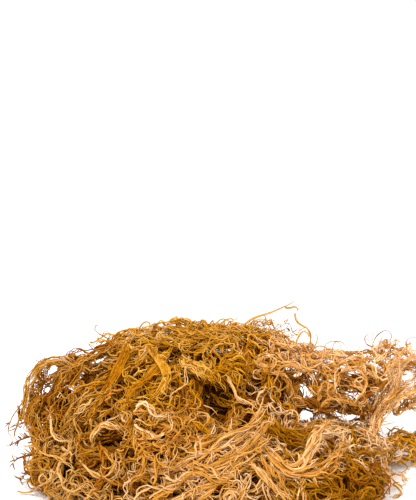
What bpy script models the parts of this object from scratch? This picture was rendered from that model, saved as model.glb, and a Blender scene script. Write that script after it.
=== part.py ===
"""Dried golden sea moss: a loose heap of wiry, forked seaweed, tipped out on a table.

The heap is a tangle of tufts. Each tuft is one dried plant: a dense knot at its heart, and strands
that climb out of the knot, wander over the tuft, fork, and end in free curled tips. Two plants are
pulled out into long twisted hanks that lie across the front. Every tuft or hank is one solid.

Metres, +Z up. The origin is the middle of the flat spot that the heap rests on. The front faces -Y.
"""

import math

import bmesh
import bpy
import numpy as np
from mathutils import Vector, noise

MM = 0.001

# A strand stands for a lock of real ones, which are three times as fine.
STRAND_RADIUS = 1.3 * MM
TIP_RADIUS = 0.6 * MM
STRAND_SIDES = 3
STEP = 4.6 * MM
STRAND_STEPS = (10, 14)
STRAND_DEPTHS = (1.03, 1.13)
TIP_STEPS = 3
TIP_LIFT = 0.12
STEER = 1.5
GAP = 0.5 * MM
ROOT_ROOM = 8 * MM
FORK_STEPS = 4
FORK_ANGLE = math.radians(42)
FORK_RADIUS_SHARE = 0.8
FORKED_SHARE = 0.5
WISP_RADIUS_SHARE = 0.8
TRIES = 60
LENGTH_GIVEN_UP = 0.5

# A rope is several locks matted together. Ropes wind round the knot, under the strands.
ROPE_RADIUS = 2.7 * MM
ROPE_TIP_RADIUS = 1.3 * MM
ROPE_SIDES = 4
ROPE_STEP = 7 * MM
ROPE_STEPS = (8, 11)
ROPE_DEPTHS = (0.93, 1.0)
ROPE_CURL_SHARE = 0.8
HANK_RADIUS = 2.3 * MM

# A knot is the dense heart of a tuft: locks matted into a twisted skein, flat where it is on the
# table. It has a furrow beside every lock.
KNOT_SHARE = 0.84
KNOT_LOCKS = 9
KNOT_RINGS = 7
KNOT_TWIST = math.radians(150)
KNOT_FURROW = 0.7
KNOT_LUMPS = 0.16
KNOT_GAP = 0.7 * MM
LUMP_SIZE = 14 * MM
ROOT_SHARE = 0.7

# Each tuft: its middle, its half width, depth and height, in mm, how many ropes and strands leave
# the knot, and how hard they curl, in degrees a step.
TUFTS = {
    "under_tuft": dict(
        at=(5, 0, 11), reach=(42, 32, 27), ropes=3, strands=2, curl=22
    ),
    "left_tuft": dict(
        at=(-66, 2, 29), reach=(38, 38, 34), ropes=10, strands=15, curl=26
    ),
    "left_front_tuft": dict(
        at=(-60, -29, 12), reach=(37, 27, 20), ropes=7, strands=11, curl=26
    ),
    "back_left_tuft": dict(
        at=(-37, 21, 33), reach=(37, 32, 36), ropes=9, strands=12, curl=22
    ),
    "back_middle_tuft": dict(
        at=(2, 22, 33), reach=(34, 31, 37), ropes=9, strands=13, curl=22
    ),
    "back_right_tuft": dict(
        at=(30, 20, 32), reach=(31, 31, 33), ropes=8, strands=11, curl=22
    ),
    "amber_tuft": dict(
        at=(-31, -8, 36), reach=(31, 28, 29), ropes=6, strands=12, curl=28
    ),
    "curl_tuft": dict(
        at=(-27, -32, 20), reach=(30, 25, 23), ropes=6, strands=12, curl=30
    ),
    "front_tuft": dict(
        at=(-2, -38, 12), reach=(44, 25, 19), ropes=7, strands=11, curl=26
    ),
    "tangle_tuft": dict(
        at=(57, -13, 13), reach=(31, 26, 16), ropes=6, strands=10, curl=30
    ),
    "right_front_tuft": dict(
        at=(50, -38, 8), reach=(38, 24, 14), ropes=6, strands=9, curl=24
    ),
    "spray_tuft": dict(
        at=(91, 1, 9), reach=(28, 19, 12), ropes=5, strands=9, curl=28
    ),
    "upper_right_tuft": dict(
        at=(78, 14, 43), reach=(38, 27, 21), ropes=8, strands=11, curl=24
    ),
}
BASE_TUFT = "under_tuft"
BASE_KNOT_SHARE = 0.86

# Each hank: the line that it follows, in mm, how wide it is, in mm, and how many strands twist in it.
HANKS = {
    "front_hank": dict(
        line=[(-40, -60, 10), (-22, -58, 18), (-4, -54, 25), (14, -48, 30), (27, -39, 35), (34, -27, 43)],
        width=13,
        strands=6,
    ),
    "right_hank": dict(
        line=[(34, -46, 26), (38, -53, 19), (46, -56, 16), (55, -52, 20), (62, -43, 28), (66, -33, 38)],
        width=8,
        strands=4,
    ),
}
HANK_TWIST = math.radians(230)
HANK_PUSH = 0.5 * MM
HANK_PUSHES = 30

# Lone strands that stand clear of the heap, each by points along it, in mm. They too leave the knot.
WISPS = {
    "left_tuft": [
        [(-66, 4, 58), (-80, 1, 63), (-94, -1, 59), (-102, -2, 46), (-103, -3, 32), (-97, -4, 18)],
        [(-84, -8, 36), (-98, -10, 39), (-107, -9, 31), (-111, -9, 21), (-109, -10, 13)],
        [(-88, -12, 18), (-98, -14, 20), (-106, -13, 15), (-111, -11, 8)],
    ],
    "back_left_tuft": [[(-50, 34, 44), (-60, 33, 60), (-67, 32, 67), (-73, 31, 71)]],
    "back_middle_tuft": [
        [(4, 35, 50), (6, 31, 64), (12, 28, 70), (24, 27, 75), (33, 26, 80), (37, 26, 76)],
        [(-6, 36, 48), (-9, 32, 64), (-6, 29, 72), (1, 28, 76), (6, 28, 73)],
    ],
    "back_right_tuft": [[(44, 32, 44), (50, 28, 58), (55, 24, 66), (61, 22, 69), (64, 21, 64)]],
    "upper_right_tuft": [
        [(80, 18, 48), (82, 17, 62), (81, 16, 70), (86, 16, 74), (93, 16, 72), (96, 17, 66)],
        [(94, 18, 46), (102, 17, 58), (105, 16, 65), (110, 16, 67), (113, 17, 62)],
        [(84, 4, 40), (84, -6, 31), (82, -11, 25), (80, -14, 23)],
        [(92, 6, 40), (91, -2, 31), (88, -8, 25), (85, -11, 22)],
        [(72, 8, 40), (75, -4, 32), (76, -10, 26), (76, -14, 24)],
        [(58, 14, 50), (53, 13, 60), (52, 15, 67), (58, 16, 69), (63, 16, 65)],
    ],
    "right_front_tuft": [[(76, -38, 10), (86, -34, 12), (93, -29, 9), (96, -33, 5), (93, -39, 2)]],
    "spray_tuft": [[(98, -4, 9), (106, -8, 10), (112, -13, 8), (112, -19, 3)]],
}

COLOURS = {
    "pale": (0.60, 0.33, 0.12, 1.0),
    "golden": (0.49, 0.23, 0.045, 1.0),
    "brown": (0.30, 0.12, 0.02, 1.0),
}
TUFT_COLOUR = {
    "under_tuft": "brown",
    "left_tuft": "golden",
    "left_front_tuft": "golden",
    "back_left_tuft": "golden",
    "back_middle_tuft": "golden",
    "back_right_tuft": "golden",
    "amber_tuft": "golden",
    "curl_tuft": "pale",
    "front_tuft": "pale",
    "tangle_tuft": "pale",
    "right_front_tuft": "brown",
    "spray_tuft": "golden",
    "upper_right_tuft": "pale",
    "front_hank": "pale",
    "right_hank": "pale",
}
DRIED_ROUGHNESS = 0.55
SEED = 11


def unit(vector):
    return vector / max(np.linalg.norm(vector), 1e-9)


def turned(vector, axis, angle):
    """The vector turned about a unit axis."""
    across = np.cross(axis, vector)
    kept = axis * (axis @ vector) * (1 - math.cos(angle))
    return vector * math.cos(angle) + across * math.sin(angle) + kept


def even_directions(count):
    """Directions spread evenly over a ball, along a golden spiral."""
    golden = math.pi * (3 - math.sqrt(5))
    heights = 1 - 2 * (np.arange(count) + 0.5) / count
    rings = np.sqrt(1 - heights**2)
    angles = golden * np.arange(count)
    return np.stack([rings * np.cos(angles), rings * np.sin(angles), heights], axis=1)


def smooth_line(points, step):
    """Points a step apart on a smooth curve through the given ones."""
    points = np.array(points, float)
    padded = np.vstack([2 * points[0] - points[1], points, 2 * points[-1] - points[-2]])
    fine = []
    for i in range(1, len(padded) - 2):
        a, b, c, d = padded[i - 1 : i + 3]
        for t in np.linspace(0, 1, 24, endpoint=False):
            bend = (2 * a - 5 * b + 4 * c - d) * t**2 + (3 * b - a - 3 * c + d) * t**3
            fine.append(b + (c - a) * t / 2 + bend / 2)
    fine = np.array(fine + [points[-1]])
    along = np.concatenate([[0], np.cumsum(np.linalg.norm(np.diff(fine, axis=0), axis=1))])
    places = np.linspace(0, along[-1], max(3, round(along[-1] / step) + 1))
    return np.stack([np.interp(places, along, fine[:, k]) for k in range(3)], axis=1)


MIDDLES = np.array([tuft["at"] for tuft in TUFTS.values()]) * MM
REACHES = np.array([tuft["reach"] for tuft in TUFTS.values()]) * MM
KNOT_SHARES = np.array([BASE_KNOT_SHARE if name == BASE_TUFT else KNOT_SHARE for name in TUFTS])


def levels(points):
    """How far out each point lies in each tuft: 0 at the tuft's middle and 1 at its reach."""
    return np.linalg.norm((np.atleast_2d(points)[:, None] - MIDDLES) / REACHES, axis=2)


def distance_to_knots(points):
    """About how far each point is from each tuft's knot."""
    offsets = np.atleast_2d(points)[:, None] - MIDDLES
    level = np.linalg.norm(offsets / REACHES, axis=2)
    return (level - KNOT_SHARES) * level / np.linalg.norm(offsets / REACHES**2, axis=2)


def open_share(own, outward, most):
    """How far out the tuft has its own room in a direction, up to a share of its reach."""
    shares = np.linspace(0, most, 200)
    each = levels(MIDDLES[own] + shares[:, None] * REACHES[own] * outward)
    taken = np.delete(each, own, axis=1).min(axis=1) < each[:, own]
    return shares[taken.argmax()] if taken.any() else most


def open_directions(own, count, rng):
    """Directions out of a tuft, evenly spread, towards the outside of the heap."""
    for tried in range(count, 12 * count):
        aims = [a for a in even_directions(tried) if open_share(own, a, 0.9) == 0.9]
        aims = [a for a in aims if MIDDLES[own][2] + REACHES[own][2] * a[2] > 0]
        if len(aims) >= count:
            break
    return rng.permutation(aims)


def wander(name, aim, kind, part, rng):
    """A line out of the knot that curls over the heap at a depth of its own, never under the table.

    It goes on for the given part of its kind's length.
    """
    own = list(TUFTS).index(name)
    depth = rng.uniform(*kind["depths"])
    curl = math.radians(TUFTS[name]["curl"]) * kind["curl"] * rng.choice([-1, 1]) * rng.uniform(0.6, 1.2)
    wave, phase = rng.uniform(0.25, 0.7), rng.uniform(0, 2 * math.pi)
    outward = unit(aim + rng.normal(0, 0.1, 3))
    point = MIDDLES[own] + REACHES[own] * outward * KNOT_SHARES[own] * ROOT_SHARE
    heading = unit(outward + unit(np.cross(outward, rng.normal(0, 1, 3))))
    line = [point]
    count = max(5, round(rng.integers(*kind["steps"]) * part))
    step, lowest = kind["step"], kind["radius"]
    for k in range(count):
        each = levels(point)[0]
        nearest = int(each.argmin())
        outward = unit((point - MIDDLES[nearest]) / REACHES[nearest] ** 2)
        wanted = depth + kind["tip_lift"] * (k >= count - TIP_STEPS)
        climb = STEER * (wanted - each[nearest]) * REACHES[nearest].mean() / step / 2
        heading = unit(heading - outward * (heading @ outward) * 0.6 + outward * np.clip(climb, -0.8, 0.8))
        heading = turned(heading, outward, curl * (0.45 + math.sin(wave * k + phase)))
        if point[2] + heading[2] * step < lowest:
            heading = unit(heading * (1, 1, 0) + (0, 0, (lowest - point[2]) / step))
        point = point + heading * step
        point[2] = max(point[2], lowest)
        line.append(point)
    return np.array(line)


STRAND = dict(
    radius=STRAND_RADIUS,
    tip=TIP_RADIUS,
    sides=STRAND_SIDES,
    step=STEP,
    steps=STRAND_STEPS,
    depths=STRAND_DEPTHS,
    tip_lift=TIP_LIFT,
    curl=1,
)
ROPE = dict(
    radius=ROPE_RADIUS,
    tip=ROPE_TIP_RADIUS,
    sides=ROPE_SIDES,
    step=ROPE_STEP,
    steps=ROPE_STEPS,
    depths=ROPE_DEPTHS,
    tip_lift=0,
    curl=ROPE_CURL_SHARE,
)


def fork(line, at, rng):
    """A short side strand that leaves the line at one of its points."""
    along = unit(line[at + 1] - line[at])
    side = unit(np.cross(along, rng.normal(0, 1, 3)))
    heading = turned(along, side, FORK_ANGLE)
    curl = math.radians(rng.uniform(12, 32)) * rng.choice([-1, 1])
    point = line[at]
    made = [point]
    for _ in range(FORK_STEPS):
        point = point + heading * STEP * 0.85
        point = np.array([point[0], point[1], max(point[2], STRAND_RADIUS)])
        made.append(point)
        heading = turned(heading, side, curl)
    return np.array(made)


def sampled(line):
    """The line's points and the middles between them."""
    return np.vstack([line, (line[1:] + line[:-1]) / 2])


class Space:
    """What is taken so far: the sampled line of every strand, with its radius and its node."""

    def __init__(self):
        self.points = np.zeros((0, 3))
        self.radii = np.zeros(0)
        self.owners = np.zeros(0, int)
        self.names = list(TUFTS) + list(HANKS)

    def take(self, name, line, radius):
        points = sampled(line)
        self.points = np.vstack([self.points, points])
        self.radii = np.append(self.radii, np.full(len(points), radius))
        self.owners = np.append(self.owners, np.full(len(points), self.names.index(name)))

    def clear(self, name, line, radius):
        """True if the line misses the other nodes, and its own node's strands away from its root."""
        points = sampled(line)
        others = np.arange(len(TUFTS)) != self.names.index(name)
        if (distance_to_knots(points)[:, others] < radius).any():
            return False
        near = np.linalg.norm(points[:, None] - self.points[None], axis=2) < radius + self.radii + GAP
        at_root = np.linalg.norm(points - line[0], axis=1) < ROOT_ROOM
        own = self.owners == self.names.index(name)
        near[np.ix_(at_root, own)] = False
        return not near.any()


def clear_of_itself(line, radius, step):
    """True if no stretch of the line comes back to touch an earlier one."""
    points = sampled(line)
    order = np.concatenate([np.arange(len(line)), np.arange(len(line) - 1) + 0.5])
    apart = np.linalg.norm(points[:, None] - points[None], axis=2)
    far_along = np.abs(order[:, None] - order[None]) * step > 3 * radius + GAP
    return bool((apart[far_along] > 2 * radius + GAP).all())


def tube(line, start_radius, end_radius, sides=STRAND_SIDES):
    """A closed tapered tube along the line, ending in a point, as (vertices, faces)."""
    across = unit(np.cross(line[1] - line[0], (0.3, 0.5, 0.8)))
    vertices, faces = [], []
    rings = len(line) - 1
    for k in range(rings):
        along = unit(line[k + 1] - line[max(k - 1, 0)])
        across = unit(across - along * (across @ along))
        radius = start_radius + (end_radius - start_radius) * k / max(rings - 1, 1)
        other = np.cross(along, across)
        for side in range(sides):
            angle = 2 * math.pi * side / sides
            vertices.append(line[k] + radius * (across * math.cos(angle) + other * math.sin(angle)))
    vertices.append(line[-1])
    tip = len(vertices) - 1
    faces.append(list(range(sides))[::-1])
    for k in range(rings - 1):
        for side in range(sides):
            here, beside = k * sides + side, k * sides + (side + 1) % sides
            faces.append([here, beside, beside + sides])
            faces.append([here, beside + sides, here + sides])
    for side in range(sides):
        faces.append([tip - sides + side, tip - sides + (side + 1) % sides, tip])
    return vertices, faces


def mesh_object(name, vertices, faces, collection):
    mesh = bpy.data.meshes.new(name)
    mesh.from_pydata([tuple(v) for v in vertices], [], faces)
    made = bpy.data.objects.new(name, mesh)
    collection.objects.link(made)
    return made


def knot_share(own, aim, wanted):
    """How far out the knot goes in a direction, inside its own room and above the table."""
    outward = REACHES[own] * aim
    length = np.linalg.norm(outward)
    share = open_share(own, aim, wanted) - KNOT_GAP / length
    if outward[2] < 0:
        share = min(share, -MIDDLES[own][2] / outward[2])
    return share


def knot_object(name, collection):
    """The dense heart of a tuft: ridged locks that wind round it, with furrows between them."""
    own = list(TUFTS).index(name)
    rng = np.random.default_rng(SEED + own)
    tilt = Vector((0, 0, 1)).rotation_difference(Vector(rng.normal(0, 1, 3) * (1, 1, 0.5)))
    twist = KNOT_TWIST * rng.choice([-1, 1])
    around = 2 * KNOT_LOCKS
    vertices, faces = [], []
    for ring in range(KNOT_RINGS + 2):
        polar = math.pi * ring / (KNOT_RINGS + 1)
        at_pole = ring in (0, KNOT_RINGS + 1)
        for lock in range(1 if at_pole else around):
            angle = 2 * math.pi * lock / around + twist * ring / (KNOT_RINGS + 1)
            level = Vector((math.cos(angle), math.sin(angle), 0)) * math.sin(polar)
            aim = np.array(tilt @ (level + Vector((0, 0, math.cos(polar)))))
            furrow = 1 if at_pole or lock % 2 == 0 else KNOT_FURROW
            lump = noise.noise(Vector(MIDDLES[own] + REACHES[own] * aim) / LUMP_SIZE)
            wanted = KNOT_SHARES[own] * furrow * (1 - KNOT_LUMPS + KNOT_LUMPS * min(1, 1.6 * lump))
            vertices.append(MIDDLES[own] + knot_share(own, aim, wanted) * REACHES[own] * aim)
            if vertices[-1][2] < 1e-6:
                vertices[-1][2] = 0
    last = len(vertices) - 1
    for side in range(around):
        after = (side + 1) % around
        faces.append([0, 1 + side, 1 + after])
        for ring in range(KNOT_RINGS - 1):
            here = 1 + ring * around
            faces.append([here + side, here + around + side, here + around + after])
            faces.append([here + side, here + around + after, here + after])
        here = 1 + (KNOT_RINGS - 1) * around
        faces.append([last, here + after, here + side])
    return mesh_object(name, vertices, faces, collection)


def hank_lines(hank, rng):
    """The strands of a hank, twisted side by side round its own line, which lies on the knots."""
    guide = smooth_line(np.array(hank["line"]) * MM, STEP * 1.3)
    half = hank["width"] * MM / 2
    room = half + HANK_RADIUS + KNOT_GAP
    for _ in range(HANK_PUSHES):
        for k, point in enumerate(guide):
            apart = distance_to_knots(point)[0]
            if apart.min() < room:
                guide[k] = point + unit(point - MIDDLES[apart.argmin()]) * HANK_PUSH
    lines = []
    for number in range(hank["strands"]):
        start = 2 * math.pi * number / hank["strands"]
        line = []
        for k, point in enumerate(guide):
            share = k / (len(guide) - 1)
            along = unit(guide[min(k + 1, len(guide) - 1)] - guide[max(k - 1, 0)])
            side = unit(np.cross(along, (0, 0, 1)))
            up = np.cross(side, along)
            angle = start + HANK_TWIST * share
            bulge = half * (0.5 + 0.5 * math.sin(math.pi * share)) * rng.uniform(0.85, 1.1)
            line.append(point + bulge * (side * math.cos(angle) + 0.75 * up * math.sin(angle)))
        lines.append(np.array(line))
    return [guide] + lines


def grow():
    """Every node's strands, as a list of (line, root radius, tip radius, sides) for each name."""
    rng = np.random.default_rng(SEED)
    space = Space()
    grown = {name: [] for name in space.names}

    def keep(name, line, root, tip=TIP_RADIUS, sides=STRAND_SIDES):
        grown[name].append((line, root, tip, sides))
        space.take(name, line, root)

    def send_out(name, aim, kind):
        for tried in range(TRIES):
            line = wander(name, aim, kind, 1 - LENGTH_GIVEN_UP * tried / TRIES, rng)
            alone = clear_of_itself(line, kind["radius"], kind["step"])
            if alone and space.clear(name, line, kind["radius"]):
                keep(name, line, kind["radius"], kind["tip"], kind["sides"])
                return line
        return None

    for name, hank in HANKS.items():
        for line in hank_lines(hank, rng):
            keep(name, line, HANK_RADIUS, HANK_RADIUS * 0.5)
    for name, wisps in WISPS.items():
        for points in wisps:
            line = smooth_line(np.array(points) * MM, STEP)
            keep(name, line, STRAND_RADIUS * WISP_RADIUS_SHARE)
    for kind, count in ((ROPE, "ropes"), (STRAND, "strands")):
        aims = {
            name: open_directions(own, tuft[count], rng) for own, (name, tuft) in enumerate(TUFTS.items())
        }
        for turn in range(max(len(directions) for directions in aims.values())):
            for name in TUFTS:
                if turn >= len(aims[name]):
                    continue
                line = send_out(name, aims[name][turn], kind)
                if line is None or kind is ROPE or rng.random() > FORKED_SHARE:
                    continue
                side = fork(line, rng.integers(3, len(line) - 2), rng)
                if space.clear(name, side, STRAND_RADIUS):
                    keep(name, side, STRAND_RADIUS * FORK_RADIUS_SHARE)
    return grown


def volume_within(skin):
    """The volume inside a closed skin of vertices, negative for a sealed hollow."""
    faces = {face for vertex in skin for face in vertex.link_faces}
    return sum(face.calc_center_median().dot(face.normal) * face.calc_area() / 3 for face in faces)


def keep_outer_skin(mesh):
    """Fills what the fusing has sealed off, and drops loose scraps: the largest closed skin is kept."""
    shape = bmesh.new()
    shape.from_mesh(mesh)
    left, skins = set(shape.verts), []
    while left:
        skin, edge = set(), [left.pop()]
        while edge:
            vertex = edge.pop()
            skin.add(vertex)
            beside = {link.other_vert(vertex) for link in vertex.link_edges} & left
            left -= beside
            edge.extend(beside)
        skins.append(skin)
    outer = max(skins, key=volume_within)
    loose = [vertex for skin in skins if skin is not outer for vertex in skin]
    bmesh.ops.delete(shape, geom=loose, context="VERTS")
    shape.to_mesh(mesh)
    shape.free()


def fused(body, name, strands):
    """The body joined with its strands in one closed mesh."""
    collection = bpy.data.collections.new(name + "_strands")
    bpy.context.scene.collection.children.link(collection)
    for number, strand in enumerate(strands):
        mesh_object(f"{name}_strand_{number}", *tube(*strand), collection)
    union = body.modifiers.new("join", "BOOLEAN")
    union.operation = "UNION"
    union.operand_type = "COLLECTION"
    union.collection = collection
    union.solver = "EXACT"
    bpy.context.view_layer.update()
    graph = bpy.context.evaluated_depsgraph_get()
    joined = bpy.data.meshes.new_from_object(body.evaluated_get(graph))
    keep_outer_skin(joined)
    body.modifiers.clear()
    body.data = joined
    for strand in list(collection.objects):
        bpy.data.objects.remove(strand)
    bpy.data.collections.remove(collection)
    return body


def dried_material(name, colour):
    material = bpy.data.materials.new("dried_" + name)
    material.use_nodes = True
    shader = material.node_tree.nodes["Principled BSDF"]
    shader.inputs["Base Color"].default_value = COLOURS[colour]
    shader.inputs["Roughness"].default_value = DRIED_ROUGHNESS
    shader.inputs["Metallic"].default_value = 0
    return material


def main():
    for old in list(bpy.data.objects):
        bpy.data.objects.remove(old)
    scene = bpy.context.scene.collection
    for name, strands in grow().items():
        if name in TUFTS:
            body = knot_object(name, scene)
        else:
            first, *strands = strands
            body = mesh_object(name, *tube(*first), scene)
        body.name = name
        fused(body, name, strands)
        body.data.materials.clear()
        body.data.materials.append(dried_material(name, TUFT_COLOUR[name]))


main()
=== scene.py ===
"""Dried golden sea moss: a loose heap of wiry, curled and forked seaweed on a white table.

The heap is built up as it was tipped out: the matted plant underneath, the plants behind it, those at
the two ends and across the front, and last the two long twisted hanks that lie over the front of it.
"""

import math

import bmesh
import bpy
import numpy as np
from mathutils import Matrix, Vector, noise


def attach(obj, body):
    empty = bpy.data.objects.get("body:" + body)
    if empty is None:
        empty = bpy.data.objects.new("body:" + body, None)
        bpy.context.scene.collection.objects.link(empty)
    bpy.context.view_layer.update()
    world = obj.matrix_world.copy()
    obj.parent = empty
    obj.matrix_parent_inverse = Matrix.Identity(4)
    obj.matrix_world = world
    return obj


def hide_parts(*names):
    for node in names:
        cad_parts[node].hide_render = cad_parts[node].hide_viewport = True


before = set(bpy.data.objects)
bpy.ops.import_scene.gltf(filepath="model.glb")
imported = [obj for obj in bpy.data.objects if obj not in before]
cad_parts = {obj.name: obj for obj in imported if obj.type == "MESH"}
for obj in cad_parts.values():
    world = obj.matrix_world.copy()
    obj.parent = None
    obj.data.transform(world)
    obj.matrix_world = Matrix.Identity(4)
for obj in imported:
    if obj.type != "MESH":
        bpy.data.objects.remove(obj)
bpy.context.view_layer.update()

# The white table and the light of a food photograph: a bright, even tent of light all round, a soft lamp
# high to the left of the camera, so the gaps among the strands stay dark, and a weaker one at the right.
scene = bpy.context.scene
scene.view_settings.view_transform = "Standard"
tent = bpy.data.worlds.new("white_tent")
tent.use_nodes = True
tent.node_tree.nodes["Background"].inputs["Color"].default_value = (1, 1, 1, 1)
tent.node_tree.nodes["Background"].inputs["Strength"].default_value = 1.04
scene.world = tent


def soft_lamp(name, place, target, size, power, colour=(1, 1, 1)):
    """A square lamp at a place, in metres, that faces a target."""
    light = bpy.data.lights.new(name, "AREA")
    light.size = size
    light.energy = power
    light.color = colour
    lamp = bpy.data.objects.new(name, light)
    lamp.location = place
    lamp.rotation_euler = (Vector(target) - Vector(place)).to_track_quat("-Z", "Y").to_euler()
    scene.collection.objects.link(lamp)


HEAP_MIDDLE = (0, 0, 0.03)
soft_lamp("key_lamp", (-0.35, -0.5, 0.8), HEAP_MIDDLE, 0.3, 7.4, (1, 0.98, 0.95))
soft_lamp("right_lamp", (0.7, -0.2, 0.5), HEAP_MIDDLE, 0.4, 2.0)

bpy.ops.mesh.primitive_plane_add(size=8)
table = bpy.context.object
table.name = "white_table"
table_paint = bpy.data.materials.new("white_table")
table_paint.use_nodes = True
table_paint.node_tree.nodes["Principled BSDF"].inputs["Base Color"].default_value = (0.97, 0.97, 0.97, 1)
table_paint.node_tree.nodes["Principled BSDF"].inputs["Roughness"].default_value = 0.8
table.data.materials.append(table_paint)

LOOKS_DOWN = 12.2
camera = bpy.data.objects.new("camera", bpy.data.cameras.new("camera"))
camera.location = (-0.0059, -0.611, 0.252)
camera.rotation_euler = (math.radians(90 - LOOKS_DOWN), 0, 0)
camera.data.lens = 86.5
scene.collection.objects.link(camera)
scene.camera = camera

# The plant underneath: a whole dried seaweed, matted flat under the others, of wiry forked strands
# that have curled up as they dried. Nothing holds it but its own tangle and the weight above it.
MM = 0.001
# Each plant takes up a rounded room of its own: its middle and its half width, depth and height, in mm.
ROOMS = {
    "under_tuft": ((5, 0, 11), (42, 32, 27)),
    "left_tuft": ((-66, 2, 27), (38, 38, 33)),
    "left_front_tuft": ((-60, -29, 12), (37, 27, 20)),
    "back_left_tuft": ((-37, 21, 33), (37, 32, 36)),
    "back_middle_tuft": ((2, 22, 33), (34, 31, 37)),
    "back_right_tuft": ((30, 20, 32), (31, 31, 33)),
    "amber_tuft": ((-31, -8, 36), (31, 28, 29)),
    "curl_tuft": ((-27, -32, 20), (30, 25, 23)),
    "front_tuft": ((-2, -38, 12), (44, 25, 19)),
    "tangle_tuft": ((57, -13, 13), (31, 26, 16)),
    "right_front_tuft": ((48, -38, 8), (36, 24, 14)),
    "spray_tuft": ((93, 7, 10), (26, 14, 11)),
    "upper_right_tuft": ((78, 14, 43), (38, 27, 21)),
}
# Gaps through the heap, that light or the dark of its inside shows in, that dark deepened by the hearts
# painted in deep shade: two ends and a radius, in mm.
GAPS = (
    # Under the upper right plant, from left to right.
    ((44, -30, 40), (51, 60, 8), 4.2),
    ((63, -20, 36), (71, 50, 11), 2.2),
    ((68, -20, 36), (77, 50, 11), 2.3),
    ((89, -20, 31), (100, 50, 6), 6),
    ((98, -20, 33), (111, 50, 8), 6.8),
    # The two open windows under the arch at the left.
    ((-86, -30, 64), (-96, 40, 42), 3.3),
    ((-88, -30, 55), (-97, 40, 31), 2.4),
    # The dark hollow in the middle, and two small ones under curls at the left.
    ((-6, -60, 62), (-6, -12, 46), 5),
    ((-3, -60, 58), (-3, -12, 42), 6),
    ((1, -60, 52), (1, -12, 36), 5.5),
    ((-54, -60, 38), (-55, -38, 30), 4.5),
    ((-75, -62, 24), (-78, -38, 14), 1.5),
    # The dent in the left edge.
    ((-98, -40, 33), (-111, 40, 2), 4),
    # The dark slit under the ridge.
    ((-29, -12, 70), (-31, 20, 60), 1.4),
    ((-25, -12, 69), (-26, 20, 59), 1.4),
    ((-20, -12, 68), (-21, 20, 58), 1.5),
    ((-15, -12, 67), (-16, 20, 57), 1.4),
    ((-10, -12, 66), (-10, 20, 56), 1.3),
    # The small windows beside the upper right plant and in it.
    ((43, -20, 58), (48, 50, 36), 2.1),
    ((43, -20, 52), (49, 50, 29), 2.1),
    ((45, -20, 47), (51, 50, 23), 1.7),
    ((49, -20, 59), (56, 50, 37), 1.7),
    ((64, -20, 63), (72, 50, 41), 1.2),
    ((87, -20, 54), (98, 50, 31), 1.3),
    # The saddle in the top of the upper right plant.
    ((61, -20, 76), (69, 50, 55), 4.2),
    ((68, -20, 76), (76, 50, 55), 5.2),
    ((75, -20, 77), (84, 50, 56), 4.2),
)
middles = np.array([room[0] for room in ROOMS.values()]) * MM
halves = np.array([room[1] for room in ROOMS.values()]) * MM
# The higher this power is, the deeper the clefts are where the rooms of two plants meet.
BLEND = 7
# No line runs lower over the table, or has fewer points.
LOWEST = 0.8 * MM
FEWEST_POINTS = 5


def unit(vectors):
    """The vectors, each made one long."""
    return vectors / np.maximum(np.linalg.norm(vectors, axis=-1, keepdims=True), 1e-12)


def heap_depth(points):
    """How far out each point lies, 0 in the heart of a plant and 1 at the skin of the heap, and the
    direction out of the heap there."""
    offsets = (points[:, None] - middles) / halves
    each = np.maximum(np.linalg.norm(offsets, axis=2), 1e-3)
    total = (each**-BLEND).sum(axis=1)
    level = total ** (-1 / BLEND)
    weight = each ** (-BLEND - 1)
    outward = (weight[:, :, None] * offsets / halves / each[:, :, None]).sum(axis=1)
    return level, unit(outward)


def turned(vectors, axes, angles):
    """Each vector turned about its own unit axis."""
    cos, sin = np.cos(angles)[:, None], np.sin(angles)[:, None]
    along = (vectors * axes).sum(axis=1, keepdims=True)
    return vectors * cos + np.cross(axes, vectors) * sin + axes * along * (1 - cos)


def near(line, start, end, radius):
    """Which points of a line lie within a radius of the stretch from start to end, all in mm."""
    start, stretch = np.array(start) * MM, (np.array(end) - np.array(start)) * MM
    share = np.clip((line - start) @ stretch / (stretch @ stretch), 0, 1)
    return np.linalg.norm(line - start - share[:, None] * stretch, axis=1) < radius * MM


def cut_clear(lines, spots):
    """The parts of the lines that keep out of all the spots."""
    kept = []
    for line in lines:
        blocked = np.zeros(len(line), bool)
        for spot in spots:
            blocked |= near(line, *spot)
        edges = np.flatnonzero(np.diff(np.concatenate([[1], blocked, [1]])))
        kept.extend(line[a:b] for a, b in zip(edges[::2], edges[1::2]) if b - a >= FEWEST_POINTS)
    return kept


def starts_in(name, count, depth, rng):
    """Points in one plant's own share of the heap, between two depths."""
    own = list(ROOMS).index(name)
    found = []
    while len(found) < count:
        aims = unit(rng.normal(0, 1, (count * 6, 3)))
        shares = rng.uniform(*depth, count * 6)[:, None]
        points = middles[own] + halves[own] * aims * shares
        level, _ = heap_depth(points)
        found.extend(points[(level > shares[:, 0] * 0.8) & (points[:, 2] > 0.5 * MM)])
    return np.array(found[:count])


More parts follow.
